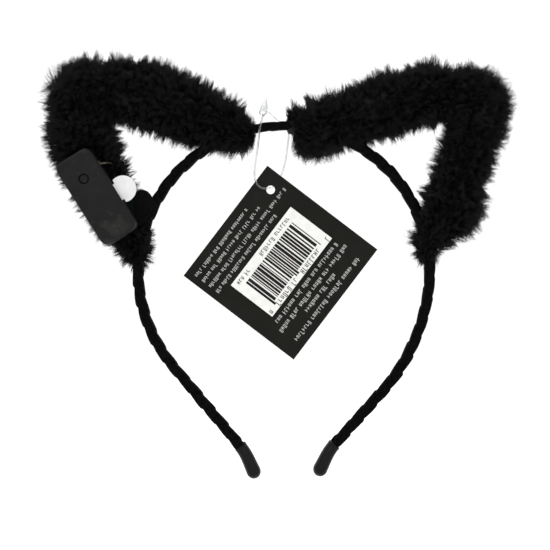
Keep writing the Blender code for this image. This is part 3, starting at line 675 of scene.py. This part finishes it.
def pressed_under_box(points):
    """The points with those under the box and the felt pushed in behind them."""
    margin = 3.0
    local = in_box_frame(points)
    for x_range, y_range, limit in ((BOX_X, BOX_Y, -3.2), (FELT_X, FELT_Y, FELT_Z[0] - 0.5)):
        over = beside(local, x_range, y_range, margin)
        pushed = np.minimum(local[..., 2], limit)
        local[..., 2] = local[..., 2] * (1 - over) + pushed * over
    return local @ np.array(BOX_TURN).T + np.array(BOX_ORIGIN)


def in_the_way(points, stand_off):
    """True for points that hair must keep out of: the box, felt, film and the loop's swing."""
    clear, overhang, over_box, over_felt = 0.4, 0.6, BOX_DEPTH + 2.5, BOX_DEPTH + 1.0
    local = in_box_frame(points)
    x, y, z = local[..., 0], local[..., 1], local[..., 2]
    box = (np.abs(x) < BOX_HALF_WIDTH + clear) & (np.abs(y) < BOX_HALF_LENGTH + clear)
    box &= (z > -2.0) & (z < over_box)
    felt = (x > FELT_X[0]) & (x < FELT_X[1] - overhang)
    felt &= (y > FELT_Y[0] + overhang) & (y < FELT_Y[1] - overhang)
    felt &= (z > FELT_Z[0]) & (z < over_felt)
    film = (x > TAB_SWEEP_X[0]) & (x < TAB_SWEEP_X[1]) & (y > TAB_SWEEP_Y[0]) & (y < TAB_SWEEP_Y[1])
    film &= z > TAB_UNDER
    # The loop's near strand leans out to the left as it leaves the band, and its far strand leans
    # in. The far one never reaches the band's near side from about the band's own level upwards,
    # so hair may stand there.
    far, up = points[..., 1], points[..., 2] - CROWN_Z
    from_band = np.hypot(far, up)
    left, right = -10.6 - 0.12 * from_band, 3.0 - 0.2 * np.maximum(from_band - 7.5, 0)
    swing = (points[..., 0] > left - stand_off) & (points[..., 0] < right + stand_off)
    unswept = (points[..., 0] > 0.2 + 0.8 * stand_off) & (up > 0.25 * far) & (up < -3 * far)
    return box | felt | film | (swing & ~unswept)


def make_fur_body(name, node, ear, seed):
    """The dense underfur: a lumpy tube, pressed flat behind the battery box."""
    sides, spacing, short_of_pole, mean_depth = 56, 1.2, 0.4, 3.9
    low, high = -ear.end_radii[0] + short_of_pole, ear.length + ear.end_radii[1] - short_of_pole
    s = np.arange(low, high, spacing)
    s, angle = np.meshgrid(s, np.arange(sides) * 2 * math.pi / sides, indexing="ij")
    surface, _ = ear.place(s, angle, np.zeros_like(s))
    depth = mean_depth + 0.8 * lumps(surface, 0.16, seed) + 0.5 * lumps(surface, 0.5, seed + 1)
    points, _ = ear.place(s, angle, depth)
    points = pressed_under_box(points)
    body = piece(name, points.reshape(-1, 3), skin(points), "faux_fur", "headband")
    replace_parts(body, node)


def hair_points(ear, rng, locks, per_lock):
    """Root, bend, tip and half-width of hairs that gather into pointed locks."""
    longest, shortest, length_bias = 4.2, -0.2, 1.9  # a lock's reach past the mean outer surface
    spread_s, spread_round, root_depth = 1.0, 0.085, (4.6, 6.4)
    stray_share, stray_reach, jitter = 0.07, (0.5, 2.0), 0.2
    bend_at, bend_out, bend_jitter = 0.58, 0.3, 0.13

    lock_s, lock_angle = ear.scatter(rng, locks), rng.uniform(0, 2 * math.pi, locks)
    lean_s, lean_round = rng.normal(0, 1.9, locks), rng.normal(0, 0.13, locks)
    reach = shortest + longest * rng.uniform(0, 1, locks) ** length_bias
    lock_tip, _ = ear.place(lock_s + lean_s, lock_angle + lean_round, -reach)

    of = np.repeat(np.arange(locks), per_lock)
    count = len(of)
    s = lock_s[of] + rng.normal(0, spread_s, count)
    angle = lock_angle[of] + rng.normal(0, spread_round, count)
    root, _ = ear.place(s, angle, rng.uniform(*root_depth, count))
    own_reach = reach[of] - rng.uniform(0, 1, count) ** 1.3 * 2.6
    tip, out = ear.place(s + lean_s[of], angle + lean_round[of], -own_reach)
    gather = rng.uniform(0.55, 0.96, count)[:, None]
    tip = tip * (1 - gather) + lock_tip[of] * gather
    swell = 0.7 * lumps(tip, 0.12, 5)[:, None]
    strays = rng.uniform(0, 1, count) < stray_share
    stray = np.where(strays, rng.uniform(*stray_reach, count), 0)[:, None]
    tip = tip + out * (swell + stray) + rng.normal(0, jitter, (count, 3)) * (1 + stray)
    bend = root * (1 - bend_at) + tip * bend_at + out * bend_out
    bend = bend + rng.normal(0, bend_jitter, (count, 3))
    half = rng.uniform(0.065, 0.115, count)
    rng.uniform(size=count)  # passed over, so that later draws keep their places
    return root, bend, tip, half


def drawn_back(root, bend, tip, rng):
    """The hairs' bends and tips, drawn back to their roots until they are out of the way."""
    furthest, ragged = 3.4, 1.8
    stand_off = furthest * rng.uniform(0, 1, len(root)) ** ragged
    free = ~in_the_way(root, stand_off)
    share = np.zeros(len(root))
    for part in (1.0, 0.85, 0.7, 0.55, 0.4):
        at_bend, at_tip = root + (bend - root) * part, root + (tip - root) * part
        clear = free & (share == 0)
        for point in (at_bend, (at_bend + at_tip) / 2, at_tip):
            clear &= ~in_the_way(point, stand_off)
        share = np.where(clear, part, share)
    share = share[:, None]
    return root + (bend - root) * share, root + (tip - root) * share, share[:, 0] > 0


def hair_mesh(name, root, bend, tip, half):
    """Each hair as a closed three-sided spike with one bend."""
    count = len(root)
    ahead = unit(bend - root)
    side = unit(np.cross(ahead, np.array([0.31, 0.27, 0.91])))
    up = np.cross(ahead, side)
    verts = np.empty((count, 7, 3))
    for k in range(3):
        angle = 2 * math.pi * k / 3
        spoke = side * math.cos(angle) + up * math.sin(angle)
        verts[:, k] = root + spoke * half[:, None]
        verts[:, 3 + k] = bend + spoke * half[:, None] * 0.8
    verts[:, 6] = tip
    one = [(0, 2, 1)]
    for k in range(3):
        n = (k + 1) % 3
        one += [(k, n, 3 + n), (k, 3 + n, 3 + k), (3 + k, 3 + n, 6)]
    faces = (np.arange(count)[:, None, None] * 7 + np.array(one)).reshape(-1)
    mesh = bpy.data.meshes.new(name)
    mesh.vertices.add(count * 7)
    mesh.vertices.foreach_set("co", (verts * MM).astype(np.float32).ravel())
    mesh.loops.add(len(faces))
    mesh.loops.foreach_set("vertex_index", faces.astype(np.int32))
    mesh.polygons.add(len(faces) // 3)
    mesh.polygons.foreach_set("loop_start", np.arange(0, len(faces), 3, dtype=np.int32))
    mesh.update(calc_edges=True)
    return mesh


def make_pile(name, ear, seed, locks=5200, per_lock=16, parts=6):
    """The fur's hairs, in pieces along the ear."""
    rng = np.random.default_rng(seed)
    root, bend, tip, half = hair_points(ear, rng, locks, per_lock)
    bend, tip, keep = drawn_back(root, bend, tip, rng)
    hairs = [h[keep] for h in (root, bend, tip, half)]
    where = np.argmin(
        np.linalg.norm(hairs[0][:, None, ::2] - ear.line[None, ::4, [0, 2]], axis=2), axis=1
    )
    order = np.argsort(where, kind="stable")
    for index, part in enumerate(np.array_split(order, parts)):
        label = f"{name}_{index + 1}"
        mesh = hair_mesh(label, *(h[part] for h in hairs))
        placed(label, mesh, "faux_fur", "headband", smooth=False)


# The tag --------------------------------------------------------------------------------------
def on_tag(points):
    """Points given on the tag, x and -y along its edges from its top corner, in the world."""
    return np.asarray(points, float) @ np.array(TAG_TURN).T + np.array(TAG_ORIGIN)


def printed(name, marks, z, slot, look):
    """Thin ink marks, each (x low, y low, x high, y high) on the tag, as one piece."""
    lift, thick = 0.01, 0.03
    points, faces = [], []
    for x0, y0, x1, y1 in marks:
        base = [(x0, y0), (x1, y0), (x1, y1), (x0, y1)]
        rings = [[(x, y, z + h) for x, y in base] for h in (lift, lift + thick)]
        faces += skin(rings, first=len(points))
        points += rings[0] + rings[1]
    return piece(name, on_tag(points), faces, slot, "tag", smooth=False, look=look)


def make_print():
    """A generic bar pattern on the label, and rows of plain strokes in place of words."""
    rng = np.random.default_rng(12)
    module, low, high = 0.33, -43.8, -12.4
    foot, top, long_top = 22.2, 36.0, 37.2
    bars, at = [], low
    while at < high - module:
        wide = module * int(rng.choice([1, 2, 2, 3, 3, 4]))
        middle = abs(at - (low + high) / 2) < 1.2
        guard = middle or at < low + 1.0 or at > high - 1.4
        bars.append((foot, at, long_top if guard else top, min(at + wide, high)))
        at += wide + module * int(rng.choice([1, 1, 1, 2]))
    groups = [(-9.6, -8.0), (-26.4, -12.6), (-42.8, -29.0), (-47.4, -45.8)]
    strokes = []
    for start, end in groups:
        strokes += row_of_strokes(rng, 38.0, start, end, 2.3)
    for start, end in ((-31.0, -10.0), (-46.0, -38.0)):
        strokes += row_of_strokes(rng, 20.1, start, end, 2.0)
    printed("label_bars", bars + strokes, LABEL_TOP, "black_card", "dark_ink")
    rows = [(4.3, -54, -19, 1.6), (7.9, -54, -15, 1.6), (11.5, -54, -2.5, 1.6), (15.1, -54, -13, 1.6)]
    rows += [(42.2, -49, -7.5, 1.9), (45.8, -51, -5, 1.9), (49.2, -38, -18.5, 1.9), (53.0, -50, -6, 1.9)]
    marks = []
    for x, start, end, tall in rows:
        marks += row_of_strokes(rng, x, start, end, tall)
    printed("tag_strokes", marks, TAG_HALF_THICK, "label_paper", "pale_ink")


def row_of_strokes(rng, x, low, high, tall):
    """A row of strokes in word-sized groups, which say nothing."""
    thin, wide, advance = 0.13 * tall, 0.42 * tall, 0.66 * tall
    foot = x - tall / 2
    marks, y = [], low
    while y + wide <= high:
        for _ in range(int(rng.integers(3, 9))):
            if y + wide > high:
                break
            top = foot + tall * float(rng.choice([0.72, 0.72, 1.0]))
            marks.append((foot, y, top, y + thin))
            if rng.uniform() < 0.6:
                marks.append((foot, y + wide - thin, top, y + wide))
            level = float(rng.choice([foot, (foot + top - thin) / 2, top - thin]))
            marks.append((level, y + thin, level + thin, y + wide))
            y += advance
        y += 0.8 * advance
    return marks


def make_loop():
    """The clear loop that hangs the tag, and its tapered lock."""
    route = np.array([(x, y, z + CROWN_Z) for x, y, z in LOOP_ROUTE])
    line = evenly(smooth_through(route, 8), 0.7)
    rings = tube(line, LOOP_RADIUS, 14)
    loop = piece("loop_strand", rings.reshape(-1, 3), skin(rings), "clear_plastic", "loop")
    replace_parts(loop, "tag_loop")
    lock = smooth_through([(x, y, z + CROWN_Z, r) for x, y, z, r in LOCK_ROUTE], 10)
    lock = evenly(lock, 0.25)
    share = np.linspace(0, 1, len(lock))
    collar = 0.22 * np.exp(-(((share - 0.2) / 0.05) ** 2)) + 0.12 * np.exp(-(((share - 0.5) / 0.04) ** 2))
    radii = (lock[:, 3] + collar) * np.minimum(1, 0.55 + share * 12)
    rings = tube(lock, radii, 24)
    head = piece("loop_lock", rings.reshape(-1, 3), skin(rings), "clear_plastic", "loop")
    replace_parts(head, "tag_lock")


# Assembly -------------------------------------------------------------------------------------
FINISHES = make_finishes()
make_camera()
make_loop()
make_light()
make_floor()
for row in frame["record"]["subparts"]:
    node = frame["nodes"][row["node"]]
    node.data.materials.clear()
    node.data.materials.append(FINISHES[row["material_slot"]])
make_ribbon()
make_cap("cap_left", "tip_cap_left", -1)
make_cap("cap_right", "tip_cap_right", 1)
for label, route, seed in (("left", LEFT_EAR, 3), ("right", RIGHT_EAR, 8)):
    shape = Ear(route)
    make_fur_body(f"fur_body_{label}", f"ear_fur_{label}", shape, seed)
    make_pile(f"fur_pile_{label}", shape, seed)
make_print()
